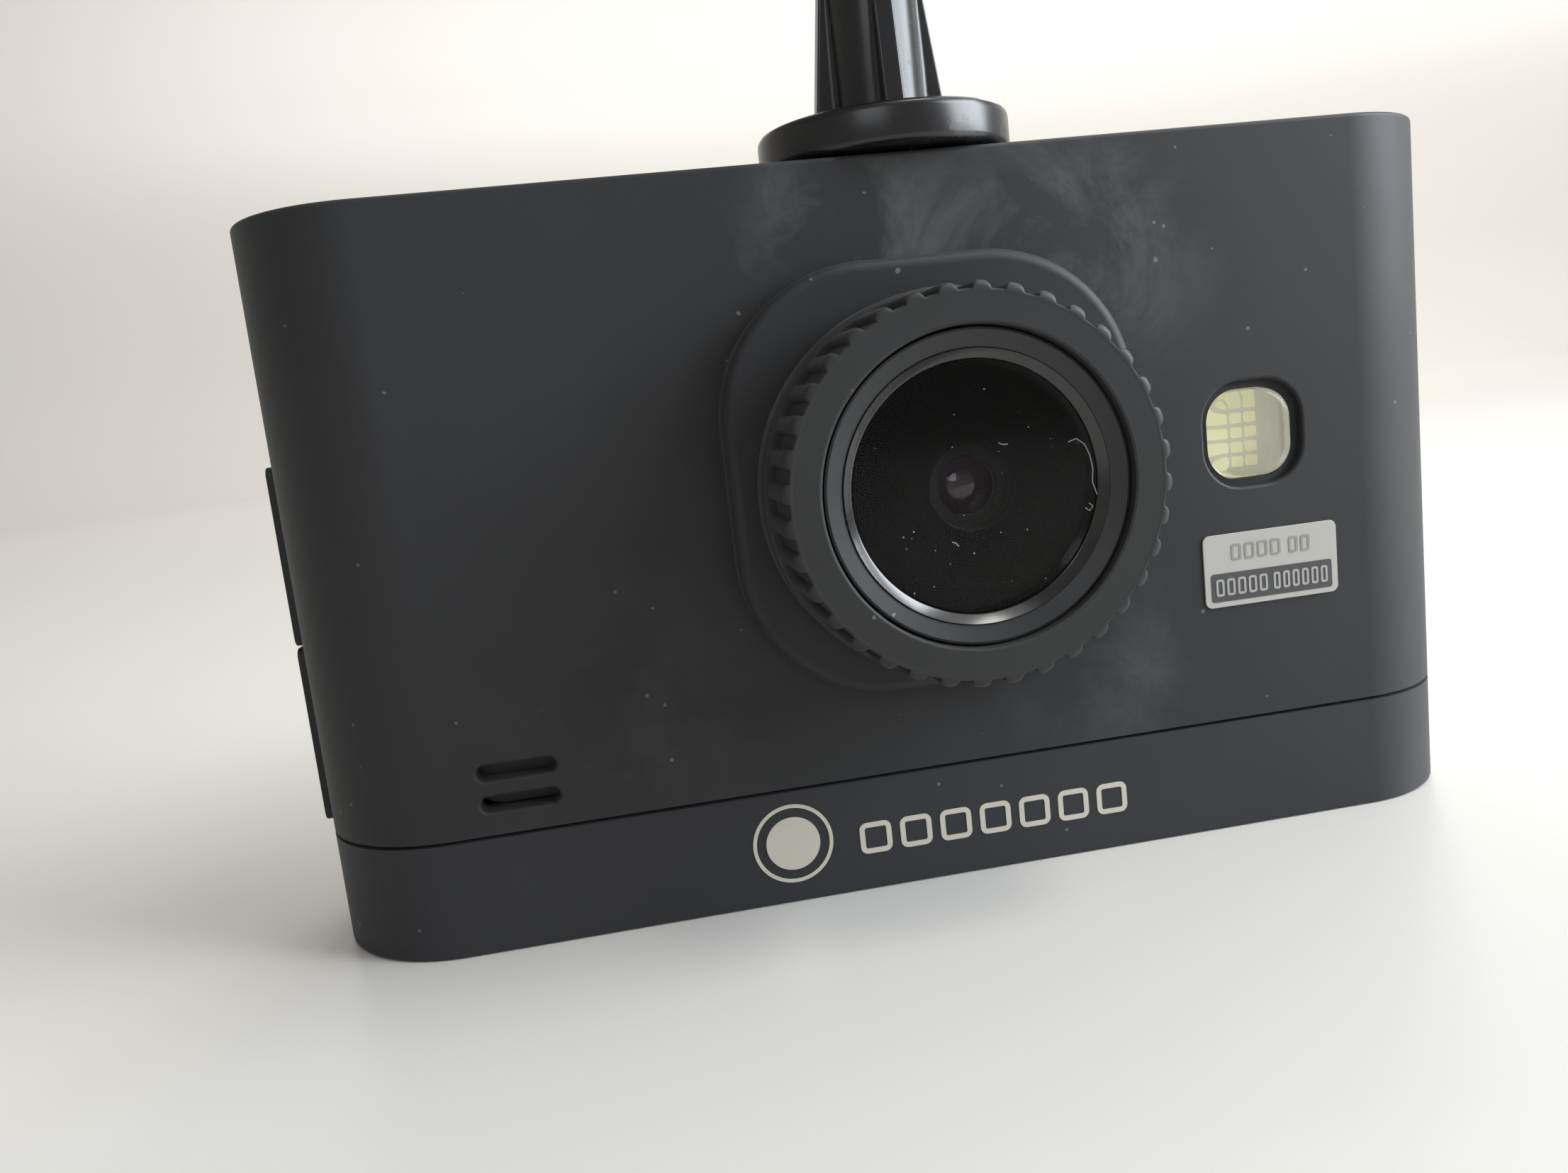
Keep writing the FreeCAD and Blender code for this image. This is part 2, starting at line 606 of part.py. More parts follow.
def make_electronics():
    board = block("board_plate", ("-35.5", "board_y", "board_low"),
                  ("38.5", "board_y + board_thick", "board_top"))
    ways = [rod(f"board_way_{number}", (x, "board_y + 2", z), "0.9", "3", "front")
            for number, (x, z) in enumerate(POSTS)]
    node(cut("main_board", board, *ways))
    node(block("processor", ("20", "board_y - 1.2", "13.5"), ("32", "board_y", "25.5")))
    node(block("memory_chip", ("-10", "board_y - 1", "12"), ("-2", "board_y", "17")))
    plate = block("spreader_plate", ("19", "-0.6", "12.8"), ("33", "0.4", "26.2"))
    fins = [block(f"spreader_fin_{number}", (f"20 + {number} * 2.8", "-3.2", "12.8"),
                  (f"20.9 + {number} * 2.8", "0", "26.2")) for number in range(5)]
    node(fuse("heat_spreader", plate, *fins))
    node(slab("battery", "22", "16", "4.4", "1.6", ("-23", "-3.5", "29.5"), "front"))
    speaker = slab("speaker_frame", "11", "8.8", "3", "2", ("-25.4", "-5.3", "14.05"), "front")
    coil = rod("speaker_magnet", ("-25.4", "-3.9", "14.05"), "3.2", "1.6", "front")
    node(fuse("speaker", speaker, coil))
    node(rod("microphone", ("-18", "board_y", "20"), "2", "1.6", "front"))
    node(block("key_board", ("-37.3", "-4", "9.6"), ("-36.3", "3.5", "40")))

    shell = block("usb_shell", ("33.3", "board_y - 2.7", "usb_z - 3.8"),
                  ("39.6", "board_y", "usb_z + 3.8"))
    mouth = block("usb_mouth", ("34.3", "board_y - 2.35", "usb_z - 3.45"),
                  ("40", "board_y - 0.35", "usb_z + 3.45"))
    tongue = block("usb_tongue", ("34", "board_y - 1.6", "usb_z - 2"),
                   ("38.8", "board_y - 1.1", "usb_z + 2"))
    node(fuse("usb_socket", cut("usb_case", shell, mouth), tongue))

    case = block("card_case", ("24.5", "board_y + board_thick", "card_z - 6.5"),
                 ("39", "4.3", "card_z + 6.5"))
    inside = block("card_inside", ("25.6", "2.95", "card_z - 5.6"), ("40", "3.95", "card_z + 5.6"))
    node(cut("card_socket", case, inside))
    node(slab("memory_card", "15", "11", "0.7", "0.6", ("33.4", "3.8", "card_z"), "front"))


# ---------------------------------------------------------------- keys
def make_keys():
    for name, z in (("side_key_upper", "upper_key_z"), ("side_key_lower", "lower_key_z")):
        cap = slab(name + "_cap", "key_depth", "key_length", "key_proud + 2.4", "key_corner",
                   ("-body_width / 2 - key_proud", "0", z), "right")
        flange = block(name + "_flange",
                       ("-39.6", "-key_depth / 2 - 0.8", f"{z} - key_length / 2 + 0.3"),
                       ("-39.1", "key_depth / 2 + 0.8", f"{z} + key_length / 2 - 0.3"))
        node(fuse(name, cap, flange))
    cap = slab("button_cap", "button_wide", "button_depth", "3.2 + button_proud", "1.3",
               ("button_x", "0", "body_height - 3.2"))
    rounded(cap, "button_round", at_height(3.2 + DIMENSIONS["button_proud"]))
    notch = rod("button_notch", ("button_x", "-5", "body_height + button_proud + 0.85"), "1", "10",
                "back")
    flange = slab("button_flange", "button_wide + 1.2", "button_depth + 1.2", "0.5", "1.2",
                  ("button_x", "0", "body_height - 2.4"))
    node(fuse("top_button", cut("button_shape", cap, notch), flange))
    switches = []
    for number, z in enumerate(("lower_key_z - 3.5", "lower_key_z + 3.5", "upper_key_z - 3.5",
                                "upper_key_z + 3.5")):
        can = block(f"side_switch_{number}", ("-38.2", "-1.6", f"{z} - 1.6"),
                    ("-37.3", "1.6", f"{z} + 1.6"))
        dot = block(f"side_plunger_{number}", ("-38.6", "-0.8", f"{z} - 0.8"),
                    ("-38.1", "0.8", f"{z} + 0.8"))
        switches.append(fuse(f"side_tact_{number}", can, dot))
    can = block("top_switch", ("button_x - 1.2", "board_y - 2.4", "41.6"),
                ("button_x + 2", "board_y", "44.2"))
    dot = block("top_plunger", ("button_x - 0.4", "board_y - 1.8", "44.1"),
                ("button_x + 1.2", "board_y - 0.6", "44.8"))
    switches.append(fuse("top_tact", can, dot))
    node(group("tact_switches", *switches))


# ---------------------------------------------------------------- screws
def screw(name, origin, head_radius, head_height, shank_radius, shank_length, facing):
    """Cross-head screw whose shank starts at its origin and runs the way it faces."""
    shape = turned(name + "_blank", [
        ("0", f"-({head_height})"), (head_radius, f"-({head_height})"), (head_radius, "0"),
        (shank_radius, "0"), (shank_radius, f"{shank_length} - 0.6"), ("0", shank_length)], ("0", "0",
                                                                                             "0"))
    half = f"({head_radius}) * 0.55"
    low = f"-({head_height}) - 1"
    deep = f"-({head_height}) * 0.45"
    across = block(name + "_cross_a", (f"-{half}", "-0.2", low), (half, "0.2", deep))
    along = block(name + "_cross_b", ("-0.2", f"-{half}", low), ("0.2", half, deep))
    return seat(cut(name, shape, across, along), origin, facing)


def make_screws():
    case = []
    for side, y in PILLARS:
        mark = f"{'left' if side < 0 else 'right'}_{'front' if 'front' in y else 'rear'}"
        case.append(screw(f"case_screw_{mark}", (f"{side} * screw_x", y, "1.4"),
                                 "1.9", "1.1", "0.95", "7.6", "up"))
    node(group("case_screws", *case))
    small = []
    for number, (x, z) in enumerate(POSTS):
        small.append(screw(f"board_screw_{number}", (x, "board_y + board_thick", z),
                                  "1.4", "0.8", "0.75", "3.6", "front"))
    for turn in FLANGE_TURNS:
        x, z = flange_spot(turn)
        small.append(screw(f"flange_screw_{turn}", (x, "-body_depth / 2 + 2.8", z),
                                  "1.25", "0.8", "0.75", "3.6", "front"))
    node(group("small_screws", *small))


# ---------------------------------------------------------------- mount bracket
def make_bracket():
    foot = block("foot_plate", ("post_x - foot_wide / 2", "foot_front", "foot_low"),
                 ("post_x + foot_wide / 2", "foot_front + foot_long", "foot_low + foot_thick"))
    neck = block("foot_neck", ("post_x - neck_wide / 2", "foot_front", "foot_low + 0.5"),
                 ("post_x + neck_wide / 2", "foot_front + foot_long - 2", "disc_low + 0.5"))
    disc = turned("flange_disc", [("0", "disc_low"), ("disc_radius - 0.5", "disc_low"),
                                  ("disc_radius", "disc_low + 0.5"), ("disc_radius", "disc_top - 0.5"),
                                  ("disc_radius - 0.5", "disc_top"), ("0", "disc_top")],
                  ("post_x", "post_y", "0"))
    core = rod("post_core", ("post_x", "post_y", "disc_low"), "core_radius", "rib_top - disc_low")
    taper = cone("post_taper", ("post_x", "post_y", "rib_top"), "core_radius", "ball_neck", "3.5")
    ribs = []
    for number in range(4):
        rib = padded(f"rib_{number}", [("0", "disc_top - 0.5"), ("rib_reach", "disc_top - 0.5"),
                                       ("core_radius", "rib_top"), ("0", "rib_top")],
                     "rib_thick", ("post_x", "post_y", "0"), "front", midplane=True)
        quarter = FreeCAD.Rotation(FreeCAD.Vector(0, 0, 1), 90 * number)
        rib.Placement = FreeCAD.Placement(rib.Placement.Base, quarter * FACING["front"])
        ribs.append(rib)
    knob = ball("post_ball", ("post_x", "post_y", "ball_z"), "ball_radius")
    stem = rod("ball_stem", ("post_x", "post_y", "rib_top + 3"), "ball_neck", "ball_z - rib_top - 3")
    node(fuse("mount_bracket", foot, neck, disc, core, taper, stem, knob, *ribs))


# ---------------------------------------------------------------- suction head
def head_turned(name, profile):
    """Turned part about the suction cup's axis, in the head's frame."""
    return turned(name, profile, ("0", "cup_offset", "0"))


def make_head():
    shell = ball("liner_shell", ("0", "0", "0"), "liner_outer", -26, 30)
    hollow = ball("liner_hollow", ("0", "0", "0"), "liner_inner")
    split = block("liner_split", ("0", "-0.5", "-10"), ("10", "0.5", "10"))
    node(on_head(cut("socket_liner", shell, hollow, split)))

    dome = head_turned("dome_solid", [("0", "dome_low"), ("18", "dome_low"), ("23.5", "dome_low + 3.5"),
                                      ("dome_radius", "dome_low + 6.5"), ("dome_radius", "dome_top"),
                                      ("0", "dome_top")])
    room = head_turned("dome_room",
                       [("0", "dome_low + 2"), ("17", "dome_low + 2"), ("21.6", "dome_low + 4.5"),
                                     ("dome_radius - 1.5", "dome_low + 7"), ("dome_radius - 1.5",
                                                                             "dome_top + 1"),
                                     ("0", "dome_top + 1")])
    socket = rod("socket_wall", ("0", "0", "-2.4"), "socket_outer", "12.4")
    neck = cone("head_neck", ("0", "0", "10"), "socket_outer", "7", "13")
    cavity = ball("socket_cavity", ("0", "0", "0"), "socket_inner")
    mouth = rod("socket_mouth", ("0", "0", "-3"), "6.9", "3")
    slits = [block("socket_slit_a", ("-0.6", "-10", "-3"), ("0.6", "10", "5")),
             block("socket_slit_b", ("-10", "-0.6", "-3"), ("10", "0.6", "5"))]
    way = block("stem_way", ("-2.8", "cup_offset - 3.3", "dome_low - 1"),
                ("2.8", "cup_offset + 3.3", "dome_top"))
    node(on_head(cut("suction_housing", fuse("housing_solid", dome, socket, neck), room, cavity, mouth,
                     way, *slits)))

    nut = turned("nut_solid", [("nut_inner", "3"), ("nut_outer - 0.4", "3"), ("nut_outer", "2.6"),
                               ("nut_outer", "-4"), ("nut_outer - 0.6", "-4.6"), ("7.5", "-4.6"),
                               ("6.65", "-3.4"), ("7", "-2.6"), ("nut_inner", "-2.6")], ("0", "0", "0"))
    grooves = []
    for number in range(20):
        angle = f"{number} * 18deg"
        x = f"(nut_outer + 0.3) * cos({angle})"
        y = f"(nut_outer + 0.3) * sin({angle})"
        grooves.append(rod(f"nut_groove_{number}", (x, y, "-6"), "0.8", "10"))
    node(on_head(cut("lock_nut", nut, *grooves)))

    plate = head_turned("stem_plate", [("0", "22"), ("8", "22"), ("8", "23.6"), ("0", "23.6")])
    shank = block("stem_shank", ("-2.5", "cup_offset - 3", "pin_z - 3"),
                  ("2.5", "cup_offset + 3", "22.5"))
    eye = rod("stem_eye", ("-5", "cup_offset", "pin_z"), "pin_radius + 0.02", "10", "right")
    node(on_head(cut("cup_stem", fuse("stem_solid", plate, shank), eye)))

    rubber = head_turned("cup_solid", [
        ("0", "20.2"), ("15", "20.2"), ("20.5", "22.6"), ("22.2", "25"), ("22.4", "27.5"), ("25.4",
                                                                                            "27.9"),
        ("cup_radius", "28.6"), ("cup_radius", "seal_z"), ("24.4", "seal_z"), ("19", "27.2"), ("10",
                                                                                               "26"),
        ("0", "26")])
    tab = slab("cup_tab", "9", "12", "1.1", "3", ("0", "cup_offset + cup_radius", "seal_z - 1.5"))
    keep = head_turned("tab_keep",
                       [("cup_radius - 1.4", "seal_z - 2"), ("cup_radius + 8", "seal_z - 2"),
                                    ("cup_radius + 8", "seal_z + 1"), ("cup_radius - 1.4",
                                                                       "seal_z + 1")])
    flap = common("cup_flap", tab, keep)
    socket = head_turned("cup_socket", [("0", "22"), ("8", "22"), ("8", "23.6"), ("0", "23.6")])
    passage = block("cup_passage", ("-2.5", "cup_offset - 3", "15"), ("2.5", "cup_offset + 3", "22.5"))
    node(on_head(cut("suction_cup", fuse("cup_whole", rubber, flap), socket, passage)))

    node(on_head(group("lever_pin", rod("pin_rod", ("-6.4", "cup_offset", "pin_z"), "pin_radius",
                                        "12.8", "right"))))
    lever_pieces = []
    for name, x in (("left", "-6.4"), ("right", "2.8")):
        lever_pieces.append(rod(f"cam_{name}", (x, "cup_offset + cam_shift", "pin_z + cam_shift"),
                                "cam_radius", "3.6", "right"))
    arm_end = "cup_offset + lever_reach"
    lever_pieces.append(block("lever_arm", ("-6.4", "cup_offset + 1", "pin_z + 0.4"),
                              ("6.4", arm_end, "pin_z + 3.4")))
    lever_pieces.append(rod("lever_tip", ("-6.4", arm_end, "pin_z + 1.2"), "2.2", "12.8", "right"))
    fork = block("lever_fork", ("-2.8", "cup_offset - 8", "pin_z - 8"),
                 ("2.8", "cup_offset + 6", "pin_z + 8"))
    way = rod("lever_way", ("-8", "cup_offset", "pin_z"), "pin_radius + 0.08", "16", "right")
    node(on_head(cut("suction_lever", fuse("lever_solid", *lever_pieces), fork, way)))


# ---------------------------------------------------------------- assembly, checks and files
make_front_shell()
make_rear_shell()
make_bottom_cover()
make_slot_rail()
make_display()
make_lens()
make_lamp()
make_electronics()
make_keys()
make_screws()
make_bracket()
make_head()
doc.recompute()

failed = [item.Name for item in doc.Objects if {"Invalid", "Error"} & set(item.State)]
if failed:
    raise SystemExit(f"failed features: {failed}")
for item in nodes:
    shape = item.Shape
    if shape.isNull() or not shape.isValid() or not shape.Solids:
        raise SystemExit(f"bad shape: {item.Label}")

os.makedirs("parts", exist_ok=True)
for item in nodes:
    item.Shape.exportStep(f"parts/{item.Label}.step")
    print(f"{item.Label}: {len(item.Shape.Solids)} solid(s), {item.Shape.Volume:.1f} mm3")
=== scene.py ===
"""Looks of a windscreen dash camera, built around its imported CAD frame.

The lens faces -Y and +Z is up. Lengths are in millimetres where MM turns them into metres.
"""

import json
import math
import random

import bmesh
import bpy
from mathutils import Matrix, Vector


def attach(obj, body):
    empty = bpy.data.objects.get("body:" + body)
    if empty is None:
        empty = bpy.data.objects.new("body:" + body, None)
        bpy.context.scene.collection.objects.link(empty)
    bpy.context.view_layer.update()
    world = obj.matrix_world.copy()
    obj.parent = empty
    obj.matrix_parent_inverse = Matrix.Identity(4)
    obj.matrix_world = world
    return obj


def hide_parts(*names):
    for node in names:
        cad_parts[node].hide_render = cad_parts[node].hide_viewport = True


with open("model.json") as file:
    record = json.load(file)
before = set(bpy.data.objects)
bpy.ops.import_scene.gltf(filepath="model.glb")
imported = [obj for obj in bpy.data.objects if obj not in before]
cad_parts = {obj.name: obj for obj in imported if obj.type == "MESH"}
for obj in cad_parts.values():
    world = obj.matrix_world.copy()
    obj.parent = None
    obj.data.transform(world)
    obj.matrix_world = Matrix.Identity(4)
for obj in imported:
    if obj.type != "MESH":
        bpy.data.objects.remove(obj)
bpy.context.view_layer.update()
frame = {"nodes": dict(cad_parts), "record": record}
NODES = frame["nodes"]
MM = 0.001

FACE = -10.0            # y of the body's front face
LENS = (1.6, 27.45)     # x and z of the lens axis
LAMP_AT = (24.5, 27.95)
LABEL_AT = (25.25, 18.7)
LABEL_FRONT = -10.12    # y of the label's face
DISC_AT = (-10.4, 4.2)  # middle of the disc printed on the band
POST = (2.2, -3.0)      # x and y of the mount post's axis


# ---------------------------------------------------------------- material tools
SHADER_INPUTS = {"colour": "Base Color", "metal": "Metallic", "rough": "Roughness", "ior": "IOR",
                 "clear": "Transmission Weight", "level": "Specular IOR Level",
                 "sheen": "Sheen Weight", "sheen_rough": "Sheen Roughness",
                 "glow": "Emission Color", "glow_level": "Emission Strength"}


class Nodes:
    """A material's node tree, with short ways to add and join nodes."""

    def __init__(self, name):
        self.material = bpy.data.materials.new(name)
        self.material.use_nodes = True
        self.tree = self.material.node_tree
        self.shader = self.tree.nodes["Principled BSDF"]
        self.place = self.tree.nodes.new("ShaderNodeTexCoord").outputs["Object"]

    def feed(self, socket, value):
        """Link a socket to another node's output, or set its value."""
        if isinstance(value, bpy.types.NodeSocket):
            self.tree.links.new(value, socket)
        else:
            socket.default_value = value

    def add(self, kind, inputs, **settings):
        made = self.tree.nodes.new(kind)
        for key, value in settings.items():
            setattr(made, key, value)
        for key, value in inputs.items():
            self.feed(made.inputs[key], value)
        return made

    def plain(self, **values):
        """Set the shader's own sockets. Colours are given without alpha."""
        for key, value in values.items():
            if key in ("colour", "glow"):
                value = (*value, 1.0)
            self.shader.inputs[SHADER_INPUTS[key]].default_value = value
        return self

    def join(self, socket, target):
        self.tree.links.new(socket, self.shader.inputs[target])

    def noise(self, scale, detail=3.0, rough=0.5, distort=0.0):
        return self.add("ShaderNodeTexNoise", {
            "Vector": self.place, "Scale": scale, "Detail": detail, "Roughness": rough,
            "Distortion": distort}).outputs["Fac"]

    def ramp(self, fac, stops):
        """Grey ramp between two (position, value) stops."""
        made = self.add("ShaderNodeValToRGB", {"Fac": fac})
        for slot, (position, value) in zip(made.color_ramp.elements, stops):
            slot.position = position
            slot.color = (value, value, value, 1)
        return made.outputs["Color"]

    def mix(self, fac, a, b):
        """Blend from colour a to colour b, each a socket or three numbers."""
        made = self.add("ShaderNodeMix", {0: fac}, data_type="RGBA", clamp_factor=True)
        for slot, value in ((6, a), (7, b)):
            self.feed(made.inputs[slot], (*value, 1) if isinstance(value, tuple) else value)
        return made.outputs[2]

    def math(self, how, a, b):
        return self.add("ShaderNodeMath", {0: a, 1: b}, operation=how).outputs[0]

    def patch(self, place, reach):
        """Cloudy spot round a place, flattened along Y, fading out over its reach."""
        flat = (1.0, 6.0, 1.0)
        spread = self.add("ShaderNodeVectorMath", {0: self.place, 1: flat},
                          operation="MULTIPLY").outputs["Vector"]
        middle = tuple(v * k * MM for v, k in zip(place, flat))
        away = self.add("ShaderNodeVectorMath", {0: spread, 1: middle},
                        operation="DISTANCE").outputs["Value"]
        near = self.ramp(self.math("DIVIDE", away, reach * MM), [(0.25, 1.0), (1.0, 0.0)])
        cloud = self.ramp(self.noise(110.0, 6.0, 0.66, 0.5), [(0.44, 0.0), (0.66, 1.0)])
        return self.math("MULTIPLY", near, cloud)

    def bump(self, height, depth, strength):
        made = self.add("ShaderNodeBump",
                        {"Height": height, "Distance": depth, "Strength": strength})
        self.join(made.outputs["Normal"], "Normal")
        return self


def specks(m, cell, size, share):
    """1 on small ragged grains, sized by the cell, in a share of the cells."""
    ragged = m.noise(cell * 7.0, 3.0, 0.7)
    spot = m.add("ShaderNodeTexVoronoi", {"Vector": m.place, "Scale": cell, "Randomness": 1.0},
                 feature="F1")
    reach = m.math("ADD", spot.outputs["Distance"], m.math("MULTIPLY", ragged, size * 1.6))
    near = m.math("LESS_THAN", reach, size * 1.5)
    chance = m.add("ShaderNodeSeparateColor", {"Color": spot.outputs["Color"]}).outputs["Red"]
    return m.math("MULTIPLY", near, m.math("LESS_THAN", chance, share))


# colour of the lighter patches: painted sheen of light, partly smear marks
SHEEN_AND_SMEAR_COLOUR = (0.15, 0.15, 0.148)
DUST_COLOUR = (0.17, 0.17, 0.168)
BEZEL_COLOUR = (0.019, 0.019, 0.020)


def soft_touch(name, dark, light, rough=0.56, dust=0.10, sheen_and_smears=()):
    """Rubberised paint with fine grain, cloudy handling marks, a few dust grains and lighter
    patches, partly smear marks and partly painted sheen of light.

    Each entry of sheen_and_smears is a (place, reach, strength).
    """
    m = Nodes(name).plain(level=0.34, sheen=0.05, sheen_rough=0.5)
    clouds = m.ramp(m.noise(34.0, 4.0, 0.6), [(0.34, 0.0), (0.68, 1.0)])
    base = m.mix(clouds, dark, light)
    for place, reach, strength in sheen_and_smears:
        # painted sheen, partly smear marks: lighter cloudy patches around the given places
        base = m.mix(m.math("MULTIPLY", m.patch(place, reach), strength), base, SHEEN_AND_SMEAR_COLOUR)
    fine = specks(m, 900.0, 0.16, dust * 0.6)
    coarse = specks(m, 330.0, 0.075, dust * 0.35)
    grains = m.math("MULTIPLY", m.math("MAXIMUM", fine, coarse), 0.62)
    m.join(m.mix(grains, base, DUST_COLOUR), "Base Color")
    m.join(m.ramp(m.noise(60.0, 3.0), [(0.3, rough - 0.05), (0.7, rough + 0.06)]), "Roughness")
    return m.bump(m.noise(7500.0, 2.0), 0.000008, 0.3).material


def moulded(name, colour, rough=0.35):
    """Plastic or print, a little uneven in gloss, with a faint grain."""
    m = Nodes(name).plain(colour=colour)
    m.join(m.ramp(m.noise(90.0, 3.0), [(0.3, rough - 0.04), (0.7, rough + 0.06)]), "Roughness")
    return m.bump(m.noise(1800.0, 2.0), 0.00001, 0.3).material


def metal(name, colour, rough):
    m = Nodes(name).plain(colour=colour, metal=1.0)
    m.join(m.ramp(m.noise(700.0, 3.0), [(0.3, rough - 0.08), (0.7, rough + 0.1)]), "Roughness")
    return m.material


def glassy(name, colour, rough, ior):
    return Nodes(name).plain(colour=colour, rough=rough, clear=1.0, ior=ior).material


def bezel_plastic():
    """Smooth dark moulding, uneven in gloss, with a few dust grains."""
    m = Nodes("bezel_dark").plain(level=0.4)
    m.join(m.ramp(m.noise(240.0, 4.0), [(0.3, 0.36), (0.7, 0.5)]), "Roughness")
    grains = m.math("MULTIPLY", specks(m, 700.0, 0.12, 0.05), 0.7)
    m.join(m.mix(grains, BEZEL_COLOUR, (0.2, 0.2, 0.2)), "Base Color")
    return m.material


def post_plastic():
    """Glossy black moulding, faintly wavy, scuffed here and there."""
    m = Nodes("gloss_black")
    scuff = m.ramp(m.noise(420.0, 5.0, 0.75), [(0.60, 0.0), (0.72, 1.0)])
    m.join(m.mix(scuff, (0.010, 0.010, 0.011), (0.05, 0.05, 0.05)), "Base Color")
    m.join(m.ramp(scuff, [(0.0, 0.27), (1.0, 0.50)]), "Roughness")
    return m.bump(m.noise(260.0, 2.0), 0.00004, 0.25).material


# the shell's lighter patches above and below the lens boss are painted sheen, partly smear marks
SHELL = soft_touch("soft_touch_shell", (0.0142, 0.0143, 0.0155), (0.0190, 0.0193, 0.0212),
                   sheen_and_smears=(((-1.0, FACE, 42.5), 11.0, 0.50), ((13.0, FACE, 41.0), 11.0, 0.42),
                           ((13.0, FACE, 12.5), 9.0, 0.22), ((-20.0, FACE, 14.0), 12.0, 0.10)))
BAND = soft_touch("soft_touch_band", (0.0175, 0.0175, 0.0205), (0.0225, 0.0227, 0.0265))
KEY = soft_touch("soft_touch_key", (0.015, 0.015, 0.016), (0.020, 0.020, 0.021))
RING = soft_touch("ring_satin", (0.017, 0.017, 0.0176), (0.021, 0.021, 0.0216),
                  rough=0.5, dust=0.14)
TUBE = bezel_plastic()
TRIM = Nodes("trim_gloss").plain(colour=(0.012, 0.012, 0.012), rough=0.21, level=0.75).material
COVER_GLASS = glassy("cover_glass", (1, 1, 1), 0.015, 1.2)
MASK = Nodes("mask_black").plain(colour=(0.0008, 0.0008, 0.001), rough=0.6, level=0.02).material
OPTIC = glassy("optic", (0.16, 0.08, 0.15), 0.05, 1.5)
IRIS = Nodes("iris_tint").plain(colour=(0.055, 0.022, 0.045), rough=0.3, level=0.3).material
BARREL = Nodes("barrel_black").plain(colour=(0.004, 0.004, 0.0044), rough=0.5,
                                     level=0.08).material
CLEAR = glassy("lamp_clear", (0.99, 0.99, 0.96), 0.10, 1.22)
# painted light: phosphor and reflector glow faintly, standing in for room light that reaches them
# through the lamp window
PHOSPHOR_PAINTED_GLOW = Nodes("phosphor").plain(colour=(0.82, 0.80, 0.56), rough=0.5,
                                   glow=(1.0, 0.96, 0.62), glow_level=0.26).material
REFLECTOR_PAINTED_GLOW = Nodes("lamp_reflector_painted_glow").plain(colour=(0.62, 0.61, 0.56), rough=0.45,
                                          glow=(1.0, 0.98, 0.86), glow_level=0.15).material
LABEL = moulded("label_grey", (0.40, 0.385, 0.36), 0.42)
LABEL_STRIP = moulded("label_strip", (0.055, 0.055, 0.056), 0.42)
LABEL_INK = moulded("label_ink", (0.25, 0.24, 0.225), 0.45)
LABEL_PALE = moulded("label_pale", (0.33, 0.325, 0.31), 0.45)
CREAM = moulded("cream_print", (0.50, 0.47, 0.40), 0.42)
GLOSS = post_plastic()
CUP = moulded("soft_cup", (0.02, 0.02, 0.022), 0.3)
LINER = moulded("nylon", (0.08, 0.08, 0.08), 0.5)
STEEL = metal("zinc_steel", (0.62, 0.62, 0.6), 0.32)
TIN = metal("tin", (0.7, 0.7, 0.68), 0.35)
ALLOY = metal("alloy", (0.6, 0.6, 0.62), 0.4)
BOARD = moulded("board_green", (0.01, 0.11, 0.05))
CHIP = moulded("chip_black", (0.02, 0.02, 0.02), 0.45)
FLEX = moulded("flex_amber", (0.35, 0.16, 0.03), 0.3)
WRAP = metal("foil", (0.5, 0.5, 0.53), 0.4)
PANEL = Nodes("panel_glass").plain(colour=(0.005, 0.005, 0.006), rough=0.06).material
LCD = moulded("lcd", (0.02, 0.02, 0.024), 0.2)
CARD = moulded("card_black", (0.015, 0.015, 0.015), 0.4)
LINT = moulded("lint", (0.30, 0.30, 0.31), 0.7)
BY_SLOT = {"shell": SHELL, "band": BAND, "ring": RING, "tube": TUBE, "silver": TRIM,
           "black_glass": COVER_GLASS, "optic": OPTIC, "barrel": BARREL, "lamp_clear": CLEAR,
           "phosphor": PHOSPHOR_PAINTED_GLOW, "label": LABEL, "key": KEY, "gloss_black": GLOSS,
           "soft_cup": CUP, "liner": LINER, "steel": STEEL, "tin": TIN, "spreader": ALLOY,
           "board": BOARD, "chip": CHIP, "flex": FLEX, "wrap": WRAP, "panel": PANEL,
           "lcd": LCD, "card": CARD}
SLOT_OF = {part["node"]: part["material_slot"] for part in frame["record"]["subparts"]}
for node, chosen in SLOT_OF.items():
    NODES[node].data.materials.clear()
    NODES[node].data.materials.append(BY_SLOT[chosen])


# ---------------------------------------------------------------- shape tools
def add_piece(name, bm, material, body, sharp=35.0):
    """Finish a mesh: smooth but for edges over `sharp` degrees, and riding a body."""
    bmesh.ops.recalc_face_normals(bm, faces=bm.faces)
    for edge in bm.edges:
        edge.smooth = edge.is_manifold and edge.calc_face_angle(0.0) < math.radians(sharp)
    for face in bm.faces:
        face.smooth = True
    mesh = bpy.data.meshes.new(name)
    bm.to_mesh(mesh)
    bm.free()
    mesh.materials.append(material)
    made = bpy.data.objects.new(name, mesh)
    bpy.context.scene.collection.objects.link(made)
    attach(made, body)
    return made


